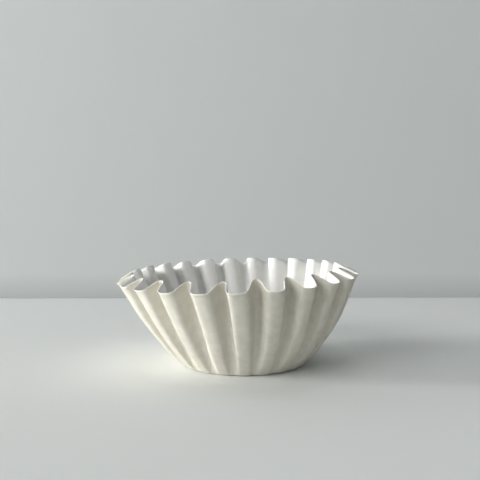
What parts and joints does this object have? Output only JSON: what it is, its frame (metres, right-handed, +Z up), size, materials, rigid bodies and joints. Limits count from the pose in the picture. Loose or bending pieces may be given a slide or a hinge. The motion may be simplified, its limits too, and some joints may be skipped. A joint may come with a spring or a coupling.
{
  "type": "paper coffee filter",
  "caption": "Fluted flat-bottomed paper basket filter: a round paper sheet pressed into a flaring cup that holds ground coffee and lets water through.",
  "frame": {"origin": "centre of the flat base, on its underside", "axes": "+Z up out of the open rim; the wall leans a little towards -X and -Y; X and Y are otherwise free, as the filter is round"},
  "size_m": [0.0922, 0.092, 0.0393],
  "materials": {
    "filter_paper": "matte, lightly creped, slightly translucent"
  },
  "bodies": {
    "root": {"paper_filter": "filter_paper"}
  },
  "joints": []
}
